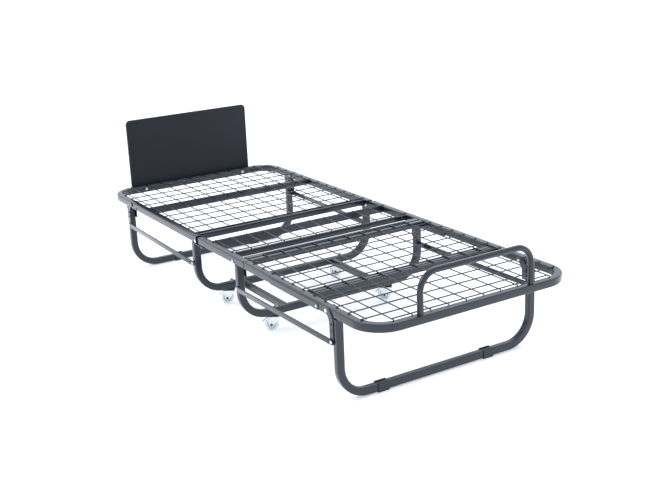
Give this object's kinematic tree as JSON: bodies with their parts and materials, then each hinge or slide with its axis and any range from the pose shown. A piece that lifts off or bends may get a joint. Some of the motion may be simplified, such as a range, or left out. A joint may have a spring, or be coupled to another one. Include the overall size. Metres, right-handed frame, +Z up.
{
  "type": "folding cot",
  "caption": "Folding steel cot with a wire deck, low headboard and foot handle; end legs fold in by link bars and it rolls folded on casters.",
  "frame": {"origin": "on the floor under the middle of the cot", "axes": "+X from the headboard end to the handle end, +Y across to the far side, +Z up"},
  "size_m": [1.968, 0.7816, 0.576],
  "materials": {
    "frame_paint": "satin powder coat",
    "zinc": "zinc plated",
    "board": "dark laminate over fibreboard",
    "pad": "moulded",
    "wheel": "milky"
  },
  "bodies": {
    "cart": {"mid_rail_near": "frame_paint", "mid_rail_far": "frame_paint", "head_hinge_bracket_near": "frame_paint", "head_hinge_bracket_far": "frame_paint", "head_hinge_pin_near": "zinc", "head_hinge_pin_far": "zinc", "foot_hinge_pin_near": "zinc", "foot_hinge_pin_far": "zinc", "leg_brace_near": "frame_paint", "leg_brace_far": "frame_paint", "mid_slat_bar": "frame_paint", "mid_cross_bar": "frame_paint", "mid_end_bar": "frame_paint", "mid_wire_deck": "frame_paint", "head_side_cart_leg": "frame_paint", "foot_side_cart_leg": "frame_paint"},
    "head_section": {"head_frame": "frame_paint", "head_cross_bar": "frame_paint", "head_end_bar": "frame_paint", "head_wire_deck": "frame_paint", "headboard": "board", "headboard_bolt_near": "zinc", "headboard_bolt_far": "zinc"},
    "foot_section": {"foot_frame": "frame_paint", "foot_first_bar": "frame_paint", "foot_cross_bar": "frame_paint", "foot_handle": "frame_paint", "foot_wire_deck": "frame_paint", "foot_hinge_arm_near": "frame_paint", "foot_hinge_arm_far": "frame_paint", "foot_splice_plate_near": "frame_paint", "foot_splice_plate_far": "frame_paint"},
    "head_leg_assembly": {"head_leg": "frame_paint", "head_leg_bracket_near": "frame_paint", "head_leg_bracket_far": "frame_paint", "head_leg_pad_near": "pad", "head_leg_pad_far": "pad"},
    "foot_leg_assembly": {"foot_leg": "frame_paint", "foot_leg_bracket_near": "frame_paint", "foot_leg_bracket_far": "frame_paint", "foot_leg_pad_near": "pad", "foot_leg_pad_far": "pad"},
    "head_link_near_bar": {"head_link_near": "frame_paint"},
    "head_link_far_bar": {"head_link_far": "frame_paint"},
    "foot_link_near_bar": {"foot_link_near": "frame_paint"},
    "foot_link_far_bar": {"foot_link_far": "frame_paint"},
    "caster_swivel_head_near": {"caster_fork_head_near": "zinc"},
    "caster_wheel_body_head_near": {"caster_wheel_head_near": "wheel"},
    "caster_brake_body_head_near": {"caster_brake_head_near": "zinc"},
    "caster_swivel_head_far": {"caster_fork_head_far": "zinc"},
    "caster_wheel_body_head_far": {"caster_wheel_head_far": "wheel"},
    "caster_brake_body_head_far": {"caster_brake_head_far": "zinc"},
    "caster_swivel_foot_near": {"caster_fork_foot_near": "zinc"},
    "caster_wheel_body_foot_near": {"caster_wheel_foot_near": "wheel"},
    "caster_brake_body_foot_near": {"caster_brake_foot_near": "zinc"},
    "caster_swivel_foot_far": {"caster_fork_foot_far": "zinc"},
    "caster_wheel_body_foot_far": {"caster_wheel_foot_far": "wheel"},
    "caster_brake_body_foot_far": {"caster_brake_foot_far": "zinc"}
  },
  "joints": [
    {"name": "head_fold", "type": "hinge", "parent": "cart", "child": "head_section", "pos_m": [-0.136, 0, 0.277], "axis": [0, 1, 0], "range_deg": [0, 90]},
    {"name": "foot_fold", "type": "hinge", "parent": "cart", "child": "foot_section", "pos_m": [0.154, 0, 0.277], "axis": [0, -1, 0], "range_deg": [0, 90]},
    {"name": "head_leg_pivot", "type": "hinge", "parent": "head_section", "child": "head_leg_assembly", "pos_m": [-0.732, 0, 0.2833], "axis": [0, 1, 0], "range_deg": [-90, 0]},
    {"name": "foot_leg_pivot", "type": "hinge", "parent": "foot_section", "child": "foot_leg_assembly", "pos_m": [0.75, 0, 0.2833], "axis": [0, -1, 0], "range_deg": [-90, 0]},
    {"name": "head_link_near_pivot", "type": "hinge", "parent": "cart", "child": "head_link_near_bar", "pos_m": [-0.164, -0.385, 0.187], "axis": [0, 1, 0], "range_deg": [0, 90]},
    {"name": "head_link_far_pivot", "type": "hinge", "parent": "cart", "child": "head_link_far_bar", "pos_m": [-0.164, 0.385, 0.187], "axis": [0, 1, 0], "range_deg": [0, 90]},
    {"name": "foot_link_near_pivot", "type": "hinge", "parent": "cart", "child": "foot_link_near_bar", "pos_m": [0.182, -0.385, 0.187], "axis": [0, -1, 0], "range_deg": [0, 90]},
    {"name": "foot_link_far_pivot", "type": "hinge", "parent": "cart", "child": "foot_link_far_bar", "pos_m": [0.182, 0.385, 0.187], "axis": [0, -1, 0], "range_deg": [0, 90]},
    {"name": "caster_swivel_head_near_turn", "type": "hinge", "parent": "cart", "child": "caster_swivel_head_near", "pos_m": [-0.159, -0.2385, 0.06], "axis": [0, 0, 1], "continuous": true},
    {"name": "caster_wheel_head_near_roll", "type": "hinge", "parent": "caster_swivel_head_near", "child": "caster_wheel_body_head_near", "pos_m": [-0.1688, -0.25419, 0.024], "axis": [0.848, -0.5299, 0], "continuous": true},
    {"name": "caster_brake_head_near_press", "type": "hinge", "parent": "caster_swivel_head_near", "child": "caster_brake_body_head_near", "pos_m": [-0.1749, -0.26394, 0.05], "axis": [0.848, -0.5299, 0], "range_deg": [0, 8]},
    {"name": "caster_swivel_head_far_turn", "type": "hinge", "parent": "cart", "child": "caster_swivel_head_far", "pos_m": [-0.159, 0.2385, 0.06], "axis": [0, 0, 1], "continuous": true},
    {"name": "caster_wheel_head_far_roll", "type": "hinge", "parent": "caster_swivel_head_far", "child": "caster_wheel_body_head_far", "pos_m": [-0.1688, 0.22281, 0.024], "axis": [0.848, -0.5299, 0], "continuous": true},
    {"name": "caster_brake_head_far_press", "type": "hinge", "parent": "caster_swivel_head_far", "child": "caster_brake_body_head_far", "pos_m": [-0.1749, 0.21306, 0.05], "axis": [0.848, -0.5299, 0], "range_deg": [0, 8]},
    {"name": "caster_swivel_foot_near_turn", "type": "hinge", "parent": "cart", "child": "caster_swivel_foot_near", "pos_m": [0.177, -0.2385, 0.06], "axis": [0, 0, 1], "continuous": true},
    {"name": "caster_wheel_foot_near_roll", "type": "hinge", "parent": "caster_swivel_foot_near", "child": "caster_wheel_body_foot_near", "pos_m": [0.1672, -0.25419, 0.024], "axis": [0.848, -0.5299, 0], "continuous": true},
    {"name": "caster_brake_foot_near_press", "type": "hinge", "parent": "caster_swivel_foot_near", "child": "caster_brake_body_foot_near", "pos_m": [0.1611, -0.26394, 0.05], "axis": [0.848, -0.5299, 0], "range_deg": [0, 8]},
    {"name": "caster_swivel_foot_far_turn", "type": "hinge", "parent": "cart", "child": "caster_swivel_foot_far", "pos_m": [0.177, 0.2385, 0.06], "axis": [0, 0, 1], "continuous": true},
    {"name": "caster_wheel_foot_far_roll", "type": "hinge", "parent": "caster_swivel_foot_far", "child": "caster_wheel_body_foot_far", "pos_m": [0.1672, 0.22281, 0.024], "axis": [0.848, -0.5299, 0], "continuous": true},
    {"name": "caster_brake_foot_far_press", "type": "hinge", "parent": "caster_swivel_foot_far", "child": "caster_brake_body_foot_far", "pos_m": [0.1611, 0.21306, 0.05], "axis": [0.848, -0.5299, 0], "range_deg": [0, 8]}
  ],
  "couplings": [
    {"joint": "head_leg_pivot", "follows": "head_fold", "ratio": -1},
    {"joint": "foot_leg_pivot", "follows": "foot_fold", "ratio": -1},
    {"joint": "head_link_near_pivot", "follows": "head_fold", "ratio": 1},
    {"joint": "head_link_far_pivot", "follows": "head_fold", "ratio": 1},
    {"joint": "foot_link_near_pivot", "follows": "foot_fold", "ratio": 1},
    {"joint": "foot_link_far_pivot", "follows": "foot_fold", "ratio": 1}
  ]
}
